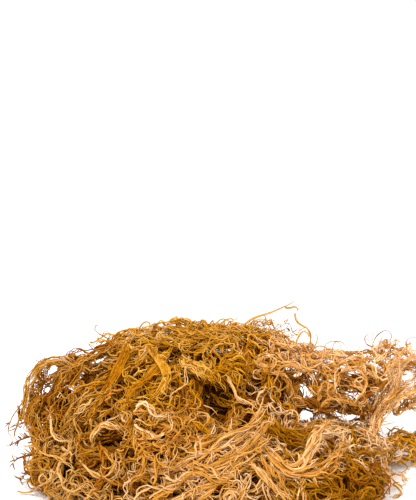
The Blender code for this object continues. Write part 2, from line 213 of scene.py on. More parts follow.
def locks(name, count, length, depth, seed, step=2.2, flow=(0, 0, 0), pull=0.0, curl=22, dive=0.05):
    """Lines that wander over one plant's share of the heap: count of them, of a length in mm, between
    two depths. They are drawn along the flow, and curl by so many degrees a step."""
    rng = np.random.default_rng(seed)
    point = starts_in(name, count, depth, rng)
    wanted = rng.uniform(*depth, count)
    _, outward = heap_depth(point)
    heading = unit(np.cross(outward, rng.normal(0, 1, (count, 3))))
    rate = np.radians(curl) * rng.uniform(0.4, 1.3, count) * rng.choice([-1, 1], count)
    wave, phase = rng.uniform(0.15, 0.5, count), rng.uniform(0, 2 * math.pi, count)
    dips, dip_at = rng.uniform(0.25, 0.6, count), rng.uniform(0, 2 * math.pi, count)
    lines = [point]
    for k in range(int(length / step)):
        level, outward = heap_depth(point)
        goal = wanted + dive * np.sin(dips * k + dip_at)
        climb = np.clip((goal - level) * 9, -0.9, 0.9)[:, None]
        heading = heading + pull * np.array(flow, float)
        heading = heading - outward * (heading * outward).sum(axis=1, keepdims=True)
        heading = unit(unit(heading) + outward * climb)
        heading = turned(heading, outward, rate * (0.35 + np.sin(wave * k + phase)))
        point = point + heading * step * MM
        point[:, 2] = np.maximum(point[:, 2], LOWEST)
        lines.append(point)
    lines = np.stack(lines, axis=1)
    cut = rng.uniform(0.55, 1.0, count)
    return [line[: max(FEWEST_POINTS, int(len(line) * share))] for line, share in zip(lines, cut)]


def coils(name, count, depth, seed, size=(1.3, 3.8), step=1.1):
    """Loose curls that lie on the heap: each winds round its own middle, opens and wanders off."""
    rng = np.random.default_rng(seed)
    spots = starts_in(name, count, depth, rng)
    _, outward = heap_depth(spots)
    made = []
    for spot, out in zip(spots, outward):
        out = unit(out + 0.45 * rng.normal(0, 1, 3))
        east = unit(np.cross(out, rng.normal(0, 1, 3)))
        north = np.cross(out, east)
        radius, turns = rng.uniform(*size), rng.uniform(0.35, 1.5)
        steps = max(6, int(turns * 2 * math.pi * radius / step))
        angle = np.linspace(0, turns * 2 * math.pi, steps)[:, None]
        grow = np.linspace(1.15, rng.uniform(0.35, 1.5), steps)[:, None]
        drift = np.linspace(0, 1, steps)[:, None] * rng.normal(0, 2.6, 3)
        oval = rng.uniform(0.45, 1)
        line = radius * grow * (east * np.cos(angle) + oval * north * np.sin(angle)) + drift
        line = spot + line * MM
        line[:, 2] = np.maximum(line[:, 2], LOWEST)
        made.append(line)
    return made


def forks(lines, count, length, seed, step=1.6, angle=50):
    """Short side branches that leave the given lines at a slant and curl up."""
    rng = np.random.default_rng(seed)
    made = []
    for _ in range(count):
        line = lines[rng.integers(len(lines))]
        at = rng.integers(1, len(line) - 1)
        along = unit(line[at] - line[at - 1])[None]
        side = unit(np.cross(along, rng.normal(0, 1, (1, 3))))
        heading = turned(along, side, np.radians([angle * rng.uniform(0.5, 1.4)]))
        turn = np.radians(rng.uniform(8, 34)) * rng.choice([-1, 1])
        axis = unit(side + 0.5 * rng.normal(0, 1, (1, 3)))
        point, branch = line[at], [line[at]]
        for _ in range(max(3, int(length * rng.uniform(0.6, 1.3) / step))):
            point = point + heading[0] * step * MM
            branch.append(np.array([point[0], point[1], max(point[2], 0.6 * MM)]))
            heading = turned(heading, axis, np.array([turn]))
        made.append(np.array(branch))
    return made


def bundle(lines, strands=4, width=1.6, girth=1.0, tone=0.5, spread=0.22, curl=1.0, step=1.8):
    """Lines with what grows along them: how many strands, how wide the lock is in mm, how thick and
    how pale the strands are, how tightly they curl, and how long their segments are in mm."""
    return [(line, strands, width, girth, tone, spread, curl, step) for line in lines]


def add(tree, kind, settings=None, sockets=None):
    """A node in a tree, with its settings, and its sockets set or linked."""
    made = tree.nodes.new(kind)
    for key, value in (settings or {}).items():
        setattr(made, key, value)
    for key, value in (sockets or {}).items():
        if isinstance(value, bpy.types.NodeSocket):
            tree.links.new(value, made.inputs[key])
        else:
            made.inputs[key].default_value = value
    return made


def strand_tree():
    """Grows wiry strands along lines: a twisted lock of them on each, curled, kinked and tapered."""
    tree = bpy.data.node_groups.new("moss_strands", "GeometryNodeTree")
    sockets = {}
    for name, kind, value in (
        ("Lines", "NodeSocketGeometry", None),
        ("Heart", "NodeSocketObject", None),
        ("Curl Radius", "NodeSocketFloat", 1.2 * MM),
        ("Curl Length", "NodeSocketFloat", 10 * MM),
        ("Frizz", "NodeSocketFloat", 4.0 * MM),
        ("Frizz Size", "NodeSocketFloat", 9 * MM),
        ("Kink", "NodeSocketFloat", 1.5 * MM),
        ("Kink Size", "NodeSocketFloat", 2.8 * MM),
        ("Twist Length", "NodeSocketFloat", 34 * MM),
        ("Trim", "NodeSocketFloat", 0.22),
        ("Thickness", "NodeSocketFloat", 0.45 * MM),
        ("Seed", "NodeSocketInt", 1),
        ("Finish", "NodeSocketMaterial", None),
    ):
        socket = tree.interface.new_socket(name, in_out="INPUT", socket_type=kind)
        if value is not None:
            socket.default_value = value
        sockets[name] = socket.identifier
    tree.interface.new_socket("Strands", in_out="OUTPUT", socket_type="NodeSocketGeometry")
    given = tree.nodes.new("NodeGroupInput").outputs

    def number(operation, *values):
        return add(tree, "ShaderNodeMath", {"operation": operation}, dict(enumerate(values))).outputs[0]

    def vector(operation, *values):
        made = add(tree, "ShaderNodeVectorMath", {"operation": operation}, dict(enumerate(values)))
        return made.outputs[0]

    def scaled(value, scale):
        made = add(tree, "ShaderNodeVectorMath", {"operation": "SCALE"}, {0: value, "Scale": scale})
        return made.outputs[0]

    def stored(name, kind="FLOAT"):
        """What the line under a point says, such as how wide its lock is."""
        return add(tree, "GeometryNodeInputNamedAttribute", {"data_type": kind}, {"Name": name}).outputs[0]

    def keep(geometry, name, value, kind="FLOAT"):
        """Writes a value on each point, for the finish and the map to read."""
        return add(
            tree, "GeometryNodeStoreNamedAttribute", {"data_type": kind, "domain": "POINT"},
            {"Geometry": geometry, "Name": name, "Value": value},
        ).outputs[0]

    # Each line becomes a lock of strands, copies of it that are cut short by chance at either end.
    lines = add(tree, "GeometryNodeMeshToCurve", {}, {0: given["Lines"]}).outputs[0]
    fine = add(
        tree, "GeometryNodeResampleCurve", {"mode": "LENGTH"},
        {"Curve": lines, "Length": stored("lock_step")},
    )
    copies = add(
        tree, "GeometryNodeDuplicateElements", {"domain": "SPLINE"},
        {"Geometry": fine.outputs[0], "Amount": stored("lock_strands", "INT")},
    )
    strand = add(
        tree, "GeometryNodeFieldOnDomain", {"domain": "CURVE", "data_type": "INT"},
        {0: add(tree, "GeometryNodeInputIndex").outputs[0]},
    ).outputs[0]

    def chance(low, high, draw):
        """A random number for each strand, another one for each draw."""
        seed = number("ADD", given["Seed"], float(draw))
        made = add(tree, "FunctionNodeRandomValue", {"data_type": "FLOAT"}, {"ID": strand, "Seed": seed})
        made.inputs[2].default_value, made.inputs[3].default_value = low, high
        return made.outputs[1]

    def chances(draw):
        """A random vector for each strand."""
        seed = number("ADD", given["Seed"], float(draw))
        made = add(
            tree, "FunctionNodeRandomValue", {"data_type": "FLOAT_VECTOR"}, {"ID": strand, "Seed": seed}
        )
        made.inputs[0].default_value, made.inputs[1].default_value = (-1, -1, -1), (1, 1, 1)
        return made.outputs[0]

    trimmed = add(
        tree, "GeometryNodeTrimCurve", {"mode": "FACTOR"},
        {
            "Curve": copies.outputs[0],
            "Start": number("MULTIPLY", given["Trim"], chance(0, 1, 8)),
            "End": number("SUBTRACT", 1.0, number("MULTIPLY", given["Trim"], chance(0, 1, 9))),
        },
    )
    place = add(tree, "GeometryNodeSplineParameter").outputs
    share, length = place["Factor"], place["Length"]
    opening = number("MULTIPLY_ADD", share, 0.6, 0.4)
    tangent = add(tree, "GeometryNodeInputTangent").outputs[0]
    normal = add(tree, "GeometryNodeInputNormal").outputs[0]
    beside = vector("CROSS_PRODUCT", tangent, normal)

    def round_the_lock(angle, reach):
        """The way from a lock's middle line to a place beside it."""
        across = scaled(normal, number("MULTIPLY", number("COSINE", angle), reach))
        over = scaled(beside, number("MULTIPLY", number("SINE", angle), reach))
        return vector("ADD", across, over)

    # The strands of a lock wind round its line, and each curls on its way, more so towards the tip.
    twist = number("MULTIPLY", number("DIVIDE", length, given["Twist Length"]), chance(2.5, 6.3, 10))
    apart = round_the_lock(
        number("ADD", twist, chance(0, 6.28, 11)),
        number("MULTIPLY", stored("lock_width"), number("MULTIPLY", opening, chance(0.15, 1.0, 1))),
    )
    turns = number("DIVIDE", length, number("MULTIPLY", given["Curl Length"], chance(0.55, 1.8, 2)))
    angle = number("MULTIPLY_ADD", turns, 2 * math.pi, chance(0, 6.28, 3))
    own_curl = number("MULTIPLY", given["Curl Radius"], chance(0.1, 1.35, 4))
    reach = number("MULTIPLY", own_curl, stored("lock_curl"))
    curls = round_the_lock(angle, number("MULTIPLY", reach, number("MULTIPLY_ADD", share, 0.8, 0.5)))

    position = add(tree, "GeometryNodeInputPosition").outputs[0]

    def ripple(size, amount, draw):
        """Waves of a size that part the strands of a lock, because each reads another stretch of noise."""
        spot = vector("ADD", scaled(position, number("DIVIDE", 1.0, size)), scaled(chances(draw), 40.0))
        wave = add(tree, "ShaderNodeTexNoise", {"noise_dimensions": "3D"}, {"Vector": spot, "Scale": 1.0})
        wave.inputs["Detail"].default_value = 0.0
        centred = vector("SUBTRACT", wave.outputs["Color"], (0.5, 0.5, 0.5))
        return scaled(centred, number("MULTIPLY", amount, stored("lock_curl")))

    frizz = ripple(given["Frizz Size"], number("MULTIPLY", given["Frizz"], opening), 5)
    kinks = ripple(given["Kink Size"], given["Kink"], 12)
    moved = vector("ADD", vector("ADD", apart, curls), vector("ADD", frizz, kinks))
    curled = add(tree, "GeometryNodeSetPosition", {}, {"Geometry": trimmed.outputs[0], "Offset": moved})
    # Strands thin out to the tip, and those that would sink into the table lie on it.
    taper = number("SUBTRACT", 1.0, number("MULTIPLY", number("POWER", share, 2.6), 0.72))
    own_girth = number("MULTIPLY", given["Thickness"], chance(0.5, 1.5, 6))
    girth = number("MULTIPLY", own_girth, stored("lock_girth"))
    thickness = number("MULTIPLY", girth, taper)
    spot = add(tree, "ShaderNodeSeparateXYZ", {}, {0: add(tree, "GeometryNodeInputPosition").outputs[0]})
    above = number("MAXIMUM", spot.outputs["Z"], number("MULTIPLY", girth, 1.05))
    lifted = add(tree, "ShaderNodeCombineXYZ", {}, {0: spot.outputs["X"], 1: spot.outputs["Y"], 2: above})
    on_table = add(
        tree, "GeometryNodeSetPosition", {}, {"Geometry": curled.outputs[0], "Position": lifted.outputs[0]}
    )
    thick = add(tree, "GeometryNodeSetCurveRadius", {}, {"Curve": on_table.outputs[0], "Radius": thickness})
    # The finish reads the tone of a strand, and the map its number and the way along and round it.
    tone = number("MULTIPLY_ADD", chance(-1, 1, 7), stored("lock_spread"), stored("lock_tone"))
    marked = keep(thick.outputs[0], "tone", tone)
    marked = keep(marked, "along", share)
    marked = keep(marked, "strand", strand, "INT")
    ring = add(tree, "GeometryNodeCurvePrimitiveCircle", {}, {"Resolution": 3, "Radius": 1.0})
    side = number("DIVIDE", add(tree, "GeometryNodeInputIndex").outputs[0], 3.0)
    skin = add(
        tree, "GeometryNodeCurveToMesh", {},
        {
            "Curve": marked,
            "Profile Curve": keep(ring.outputs[0], "around", side),
            "Scale": add(tree, "GeometryNodeInputRadius").outputs[0],
            "Fill Caps": True,
        },
    )
    # The matted heart, painted in deep shade by its tone, joins the strands, and the finish goes over the
    # whole.
    middle = add(tree, "GeometryNodeObjectInfo", {}, {"Object": given["Heart"]})
    whole = add(tree, "GeometryNodeJoinGeometry", {}, {0: skin.outputs[0]})
    tree.links.new(middle.outputs["Geometry"], whole.inputs[0])
    real = add(tree, "GeometryNodeRealizeInstances", {}, {0: whole.outputs[0]})
    rounded = add(tree, "GeometryNodeSetShadeSmooth", {}, {0: real.outputs[0]})
    painted = add(
        tree, "GeometryNodeSetMaterial", {}, {"Geometry": rounded.outputs[0], "Material": given["Finish"]}
    )
    tree.links.new(painted.outputs[0], tree.nodes.new("NodeGroupOutput").inputs[0])
    return tree, sockets


STRANDS, STRAND_SOCKETS = strand_tree()
# Painted shade: the colour of the strands deepest in the tangle and of the matted hearts, where hardly any
# light gets to. It is warm and not quite as dark as that shade, because it also stands in for light shining
# through the translucent strands: painted light.
PAINTED_DEEP_SHADE = (0.16, 0.05, 0.001)


def dried_moss(name, shade, body, pale):
    """Dried seaweed: each strand has a tone of its own, on a scale from the painted deep shade of the
    tangle's inside, through a darker shade and a body colour, to a pale bleached one that also stands in
    for the shine of light on the strands, a painted highlight. The darker shade is partly the strands' own
    darker tone and partly painted shade for the locks deep in the tangle. Along each strand are darker
    stretches, fine shrinkage wrinkles and a dull, waxy surface."""
    material = bpy.data.materials.new(name)
    material.use_nodes = True
    tree = material.node_tree
    shader = tree.nodes["Principled BSDF"]
    spot = add(tree, "ShaderNodeTexCoord").outputs["Object"]
    tone = add(tree, "ShaderNodeAttribute", {"attribute_name": "tone"}).outputs["Fac"]
    patches = add(tree, "ShaderNodeTexNoise", {}, {"Vector": spot, "Scale": 180.0, "Detail": 2.0})
    shifted = add(
        tree, "ShaderNodeMath", {"operation": "MULTIPLY_ADD"}, {0: patches.outputs["Fac"], 1: 0.5, 2: tone}
    )
    level = add(
        tree, "ShaderNodeMapRange", {},
        {"Value": shifted.outputs[0], "From Min": 0.0, "From Max": 1.25, "To Min": 0.0, "To Max": 1.0},
    )
    ramp = add(tree, "ShaderNodeValToRGB", {}, {"Fac": level.outputs[0]})
    stops = ramp.color_ramp.elements
    # The lowest stop is the painted deep shade, and the top one the pale bleached tone that is also a
    # painted highlight.
    stops[0].position, stops[0].color = 0.0, (*PAINTED_DEEP_SHADE, 1)
    stops[1].position, stops[1].color = 1.0, (*pale, 1)
    for place, colour in ((0.2, shade), (0.6, body)):
        stops.new(place).color = (*colour, 1)
    tree.links.new(ramp.outputs["Color"], shader.inputs["Base Color"])
    grain = add(tree, "ShaderNodeTexNoise", {}, {"Vector": spot, "Scale": 1600.0, "Detail": 3.0})
    wrinkles = add(
        tree, "ShaderNodeBump", {}, {"Height": grain.outputs["Fac"], "Strength": 0.5, "Distance": 0.2 * MM}
    )
    tree.links.new(wrinkles.outputs["Normal"], shader.inputs["Normal"])
    rough = add(
        tree, "ShaderNodeMapRange", {}, {"Value": grain.outputs["Fac"], "To Min": 0.42, "To Max": 0.7}
    )
    tree.links.new(rough.outputs[0], shader.inputs["Roughness"])
    shader.inputs["Specular IOR Level"].default_value = 0.06
    return material


# Each finish: a shade colour, partly painted shade for the deep locks; a body colour; and a pale bleached
# colour that is also the painted highlight.
golden = dried_moss("golden_moss", (0.30, 0.08, 0.001), (0.495, 0.212, 0.014), (0.75, 0.455, 0.185))
pale = dried_moss("pale_moss", (0.39, 0.125, 0.005), (0.63, 0.288, 0.042), (0.87, 0.58, 0.31))
amber = dried_moss("amber_moss", (0.34, 0.095, 0.0), (0.525, 0.217, 0.001), (0.77, 0.43, 0.09))
brown = dried_moss("brown_moss", (0.27, 0.072, 0.0), (0.37, 0.14, 0.0), (0.60, 0.31, 0.02))
tan = dried_moss("tan_moss", (0.39, 0.13, 0.008), (0.66, 0.30, 0.05), (0.93, 0.61, 0.31))


def heart(name, share, seed):
    """The matted middle of a plant: an uneven core, ridged like the locks wound round it and drawn in from
    the gaps, painted in the deep shade colour: a dark core that stands in for the shade inside the heap."""
    own = list(ROOMS).index(name)
    rng = np.random.default_rng(seed)
    tilt = Vector((0, 0, 1)).rotation_difference(Vector(rng.normal(0, 1, 3)))
    shape = bmesh.new()
    bmesh.ops.create_uvsphere(shape, u_segments=56, v_segments=20, radius=1)
    around, along = [], []
    for vertex in shape.verts:
        polar = math.acos(max(-1, min(1, vertex.co.z)))
        angle = math.atan2(vertex.co.y, vertex.co.x)
        around.append(angle / 2 / math.pi + 0.5)
        along.append(polar / math.pi)
        ridge = 0.08 * math.sin(14 * angle + 5 * polar) * math.sin(polar)
        aim = np.array(tilt @ vertex.co)
        lump = noise.noise(Vector(middles[own] + halves[own] * aim) / (8 * MM))
        place = middles[own] + halves[own] * aim * share * (1 + ridge + 0.2 * lump)
        for _ in range(12):
            if not any(near(place[None], *gap)[0] for gap in GAPS):
                break
            place = middles[own] + (place - middles[own]) * 0.88
        vertex.co = (place[0], place[1], max(place[2], 0.3 * MM))
    mesh = bpy.data.meshes.new(name + "_heart")
    shape.to_mesh(mesh)
    shape.free()
    # Painted shade: the heart's tone lies below the scale, so it takes the painted deep shade colour.
    for label, values in (("around", around), ("along", along), ("tone", [-0.5] * len(around))):
        mesh.attributes.new(label, "FLOAT", "POINT").data.foreach_set("value", values)
    mesh.attributes.new("strand", "INT", "POINT").data.foreach_set("value", [-1] * len(around))
    made = bpy.data.objects.new(name + "_heart", mesh)
    scene.collection.objects.link(made)
    return made


def lay_out(mesh):
    """Lays the strands side by side on the piece's map, each in a cell of its own: round the strand
    across the cell, and along it up the cell."""
    corners = np.zeros(len(mesh.loops), np.int32)
    mesh.loops.foreach_get("vertex_index", corners)
    values = {}
    for label, kind in (("strand", np.int32), ("around", np.float32), ("along", np.float32)):
        column = np.zeros(len(mesh.vertices), kind)
        mesh.attributes[label].data.foreach_get("value", column)
        values[label] = column[corners]
    strand, around, along = values.values()
    sizes = np.zeros(len(mesh.polygons), np.int32)
    mesh.polygons.foreach_get("loop_total", sizes)
    firsts = np.concatenate([[0], np.cumsum(sizes)[:-1]])
    spans = np.maximum.reduceat(around, firsts) - np.minimum.reduceat(around, firsts)
    seam = np.repeat((spans > 0.5) & (sizes == 4), sizes)
    around = around + (seam & (around < 0.5))
    ends = np.repeat((sizes == 3), sizes) & (strand >= 0)
    along = along + ends * (np.abs(around - 1 / 3) < 0.1) * np.where(along < 0.5, 0.05, -0.05)
    strand = np.where(strand < 0, strand.max() + 1, strand)
    across = math.ceil(math.sqrt(strand.max() + 1))
    column, row = strand % across, strand // across
    spread = np.stack([column + 0.06 + 0.88 * around, row + 0.04 + 0.92 * along], axis=1)
    chart = mesh.uv_layers.new(name="OFBake")
    chart.data.foreach_set("uv", (spread / across).astype(np.float32).ravel())


def grow(name, bundles, finish, slot, seed, heart_share=0.5, **sizes):
    """One plant or hank: the strands grown along its lines, in one mesh that stands for its node."""
    rng = np.random.default_rng(seed + 500)
    vertices, edges, values = [], [], []
    for line, strands, width, girth, tone, spread, curl, step in bundles:
        first = len(vertices)
        vertices.extend(line)
        edges.extend((first + k, first + k + 1) for k in range(len(line) - 1))
        patch = noise.noise(Vector(line[len(line) // 2]) / (26 * MM))
        own_tone = tone + rng.normal(0, 0.1) + 0.35 * patch
        values.extend([(strands, width * MM, girth, own_tone, spread, curl, step * MM)] * len(line))
    mesh = bpy.data.meshes.new(name + "_lines")
    mesh.from_pydata([tuple(v) for v in vertices], edges, [])
    columns = list(zip(*values))
    for label, kind, column in zip(
        ("lock_strands", "lock_width", "lock_girth", "lock_tone", "lock_spread", "lock_curl", "lock_step"),
        ("INT", "FLOAT", "FLOAT", "FLOAT", "FLOAT", "FLOAT", "FLOAT"),
        columns,
    ):
        mesh.attributes.new(label, kind, "POINT").data.foreach_set("value", column)
    guide = bpy.data.objects.new(name + "_lines", mesh)
    scene.collection.objects.link(guide)
    growth = guide.modifiers.new("growth", "NODES")
    growth.node_group = STRANDS
    growth[STRAND_SOCKETS["Seed"]] = seed
    growth[STRAND_SOCKETS["Finish"]] = finish
    middle = heart(name, heart_share, seed) if name in ROOMS and heart_share else None
    if middle:
        growth[STRAND_SOCKETS["Heart"]] = middle
    for label, value in sizes.items():
        growth[STRAND_SOCKETS[label.replace("_", " ").title()]] = value if label == "trim" else value * MM
    bpy.context.view_layer.update()
    grown = bpy.data.meshes.new_from_object(guide.evaluated_get(bpy.context.evaluated_depsgraph_get()))
    guide.modifiers.clear()
    bpy.data.objects.remove(guide)
    if middle:
        bpy.data.objects.remove(middle)
    lay_out(grown)
    for label in [a.name for a in grown.attributes if a.name.startswith("lock_")]:
        grown.attributes.remove(grown.attributes[label])
    piece = bpy.data.objects.new(name + "_strands", grown)
    scene.collection.objects.link(piece)
    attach(piece, "root")
    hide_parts(name)
    return piece


def tuft(name, seed, flow=(0, 0, 0), pull=0.0, curl=22, tone=0.5, counts=(26, 30, 44, 40, 70), clear=()):
    """The lines of one plant, from its matted inside out: counts of inner, middle and outer locks, of
    loose curls and of short forks. The last four also keep out of the spots to be left clear."""
    clear = GAPS + tuple(clear)
    length = 60
    drawn = {"flow": flow, "pull": pull, "curl": curl}
    inner = locks(name, counts[0], length, (0.5, 0.78), seed, step=4, curl=30)
    middle = cut_clear(locks(name, counts[1], length, (0.76, 0.93), seed + 1, **drawn), clear)
    outer = cut_clear(locks(name, counts[2], length, (0.93, 1.05), seed + 2, **drawn), clear)
    loose = cut_clear(coils(name, counts[3], (0.98, 1.06), seed + 3), clear)
    short = cut_clear(forks(outer + middle, counts[4], 9, seed + 4), clear)
    # Painted shade and light: the tones step with depth, the inner locks far darker, the middle ones a
    # little darker and the outer locks, loose curls and forks paler, as the tangle is shaded inside and lit
    # on its skin.
    return (
        bundle(cut_clear(inner, GAPS), 7, 3.2, 1.7, tone * 0.3, 0.14, 0.8, step=3.2)
        + bundle(middle, 5, 2.0, 1.15, tone - 0.15)
        + bundle(outer[::2], 4, 1.5, 1.05, tone + 0.05)
        + bundle(outer[1::2], 2, 1.2, 1.0, tone + 0.15, curl=1.3, step=1.5)
        + bundle(loose, 2, 0.6, 0.85, tone + 0.15, curl=0.6, step=1.2)
        + bundle(short, 2, 0.7, 0.75, tone + 0.1, curl=0.6, step=1.5)
    )


grow(
    "under_tuft",
    tuft("under_tuft", 10, tone=0.3, counts=(52, 20, 10, 4, 10)),
    brown, "brown_strands", 1,
)

# The three plants behind: golden, amber and tan seaweed, matted into a long low ridge, with ropes of
# strands lying along its top, fine frizz all over, and a few hooked and straight strands standing up.


def smooth(*points, step=1.8):
    """A smooth line through points in mm, with a point every step."""
    points = np.array(points, float) * MM
    padded = np.vstack([2 * points[0] - points[1], points, 2 * points[-1] - points[-2]])
    fine = []
    for i in range(1, len(padded) - 2):
        a, b, c, d = padded[i - 1 : i + 3]
        for t in np.linspace(0, 1, 16, endpoint=False):
            bend = (2 * a - 5 * b + 4 * c - d) * t**2 + (3 * b - a - 3 * c + d) * t**3
            fine.append(b + (c - a) * t / 2 + bend / 2)
    fine = np.array(fine + [points[-1]])
    along = np.concatenate([[0], np.cumsum(np.linalg.norm(np.diff(fine, axis=0), axis=1))])
    places = np.linspace(0, along[-1], max(4, round(along[-1] / step / MM)))
    return np.stack([np.interp(places, along, fine[:, k]) for k in range(3)], axis=1)


def strew(lines, count, width, seed, ends=0.35):
    """Copies of each line that part from it by about a width in mm, and cross, and close up at both
    ends, as the locks of a loose rope do."""
    rng = np.random.default_rng(seed)
    made = []
    for line in lines:
        share = np.linspace(0, 1, len(line))[:, None]
        opening = ends + (1 - ends) * np.sin(math.pi * share)
        for _ in range(count):
            offset = rng.normal(0, 0.7, 3) + sum(
                rng.normal(0, 0.7 / wave, 3) * np.sin(2 * math.pi * (wave * share + rng.uniform(0, 1)))
                for wave in (1, 2, 3)
            )
            copy = line + offset * width * opening * MM
            copy[:, 2] = np.maximum(copy[:, 2], LOWEST)
            made.append(copy)
    return made


ridge = strew(
    [
        smooth((-69, 16, 64), (-58, 20, 66), (-45, 22, 68), (-31, 24, 66), (-16, 24, 69), (0, 24, 68),
               (17, 22, 70), (36, 20, 66), (47, 16, 62)),
        smooth((-43, 26, 66), (-32, 28, 70), (-19, 28, 72), (-7, 28, 69), (10, 28, 68), (24, 28, 71),
               (37, 26, 69), (47, 24, 64)),
        smooth((-52, 12, 64), (-40, 12, 67), (-28, 13, 65), (-15, 14, 68), (-2, 14, 66), (12, 13, 67)),
    ],
    5, 2.4, 31, ends=0.8,
)
behind = strew(
    [
        smooth((-48, 34, 48), (-34, 38, 52), (-20, 40, 54), (-6, 38, 53), (6, 36, 50)),
        smooth((-40, 24, 54), (-28, 26, 57), (-16, 27, 58), (-4, 27, 57)),
    ],
    6, 3.0, 36, ends=0.9,
)
curtain = strew(
    [
        smooth((1, -3, 57), (6, -5, 58), (10, -3, 59), (15, -3, 57), (19, -5, 54)),
        smooth((4, 0, 60), (8, -5, 56), (12, -7, 53), (16, -7, 49)),
    ],
    4, 2.2, 39, ends=0.9,
)
hooks = [
    smooth((-45, 20, 63), (-44, 22, 69), (-41, 22, 75), (-38, 22, 75), (-38, 22, 72), (-41, 22, 68)),
    smooth((-60, 22, 65), (-66, 24, 68), (-68, 24, 71), (-66, 24, 73), (-62, 24, 72)),
    smooth((3, 20, 65), (1, 22, 72), (3, 22, 75), (7, 22, 77), (9, 22, 75), (10, 22, 78)),
    smooth((41, 18, 81), (42, 18, 77), (45, 18, 74), (48, 18, 72), (50, 18, 67), (48, 17, 60)),
    smooth((42, 18, 58), (42, 18, 64), (43, 18, 68), (46, 18, 71), (49, 18, 68), (47, 18, 65)),
    smooth((47, 18, 56), (52, 18, 62), (54, 18, 67), (52, 18, 70)),
]
lone = [
    smooth((7, 18, 67), (12, 20, 72), (18, 20, 77), (23, 20, 79), (33, 20, 83), (39, 20, 86), (42, 20, 88)),
    smooth((35, 20, 84), (38, 20, 83), (41, 20, 84), (43, 20, 83), (42, 20, 81)),
]
grow("back_left_tuft", tuft("back_left_tuft", 20, (1, 0, 0.1), 0.1), golden, "golden_strands", 2)
grow(
    "back_middle_tuft",
    tuft("back_middle_tuft", 30, (1, 0, 0.1), 0.1)
    + bundle(ridge, 3, 1.4, 0.95, 0.68, curl=1.5, step=1.5)
    + bundle(behind, 4, 2.2, 1.2, 0.15)
    + bundle(curtain, 3, 1.4, 0.95, 0.4)
    + bundle(forks(ridge, 190, 7, 35), 2, 0.8, 0.75, 0.65, curl=0.8, step=1.2)
    + bundle(coils("back_middle_tuft", 40, (1.0, 1.07), 37), 2, 0.5, 0.85, 0.7, curl=0.6, step=1.2)
    + bundle(hooks, 2, 0.3, 1.0, 0.5, curl=0.25)
    + bundle(lone, 4, 0.3, 1.2, 0.6, curl=0.12),
    amber, "golden_strands", 3,
)
bridge = strew(
    [
        smooth((26, 16, 62), (34, 15, 62), (41, 14, 59), (48, 12, 56), (57, 10, 54)),
        smooth((30, 10, 60), (38, 10, 57), (44, 9, 52), (50, 8, 48)),
        smooth((28, 14, 64), (36, 18, 64), (43, 20, 62), (49, 19, 58), (54, 16, 54)),
        smooth((26, 30, 52), (34, 30, 54), (42, 28, 53), (50, 26, 49), (56, 22, 46)),
    ],
    5, 2.4, 41, ends=0.8,
)
bridge = cut_clear(bridge, GAPS)
over_the_gap = strew(
    [smooth((43, -10, 42), (48, -9, 40), (54, -9, 37), (60, -9, 34), (63, -12, 30))],
    5, 1.6, 42, ends=0.7,
)
grow(
    "back_right_tuft",
    tuft("back_right_tuft", 40, (1, 0, -0.2), 0.1)
    + bundle(bridge, 3, 1.2, 0.9, 0.5)
    + bundle(forks(bridge, 60, 8, 43), 2, 0.7, 0.75, 0.6, curl=0.7, step=1.2)
    + bundle(over_the_gap, 4, 1.2, 1.0, 0.1, 0.15, curl=0.7),
    tan, "golden_strands", 4,
)

# The plant at the upper right: pale tan seaweed propped on its own stem, its layers lying over to the
# left and a fan of fine strands opening to the right, with thin loops in the air over it.
layers = strew(
    [
        smooth((44, 16, 60), (53, 12, 58), (63, 8, 58), (73, 4, 56), (83, 2, 50), (88, 2, 41)),
        smooth((47, 14, 54), (56, 8, 51), (66, 4, 49), (75, 1, 44), (82, 0, 37)),
        smooth((51, 12, 45), (59, 6, 43), (68, 2, 39), (76, -2, 35), (80, -4, 28)),
        smooth((44, 8, 38), (51, 4, 38), (60, 2, 38), (68, 0, 38), (75, -3, 34)),
    ],
    5, 1.6, 131, ends=0.7,
)
layers = cut_clear(layers, GAPS)
stems = strew(
    [
        smooth((79, -12, 19), (81, -8, 25), (82, -4, 31), (85, -2, 39), (90, 0, 47), (98, 3, 55),
               (106, 6, 63)),
        smooth((81, -12, 20), (83, -6, 27), (86, -4, 35), (92, -2, 43), (101, 0, 49), (109, 2, 54)),
        smooth((80, -10, 21), (82, -6, 29), (86, -4, 36), (91, -3, 43), (93, -3, 50), (93, -2, 58),
               (94, 0, 66)),
        smooth((82, -10, 22), (85, -6, 29), (92, -3, 36), (100, -1, 43), (107, 0, 49)),
    ],
    6, 1.5, 132, ends=0.8,
)
loops = [
    smooth((53, 18, 51), (51, 17, 56), (51, 16, 61), (54, 16, 63), (58, 16, 62), (60, 16, 58),
           (58, 17, 53)),
    smooth((56, 18, 52), (57, 16, 61), (59, 16, 65), (63, 16, 66), (66, 16, 64), (66, 16, 60),
           (63, 16, 57)),
    smooth((63, 18, 52), (62, 16, 59), (62, 16, 63), (64, 16, 66), (67, 16, 65), (70, 16, 62),
           (74, 17, 56)),
    smooth((87, 18, 55), (84, 16, 62), (80, 16, 64), (79, 16, 68), (82, 16, 70), (87, 16, 68)),
    smooth((83, 18, 57), (84, 16, 66), (87, 16, 70), (91, 16, 72), (94, 16, 69), (93, 16, 65),
           (96, 17, 58)),
    smooth((103, 16, 55), (102, 16, 62), (102, 16, 66), (104, 16, 68), (108, 16, 67), (109, 16, 62)),
]
underside = strew(
    [
        smooth((50, 8, 45), (60, 6, 43), (70, 5, 43), (80, 3, 43), (88, 2, 44)),
        smooth((84, 4, 50), (92, 5, 53), (100, 6, 55), (108, 8, 55), (114, 10, 53)),
    ],
    6, 2.6, 136, ends=0.9,
)
underside = cut_clear(underside, GAPS)
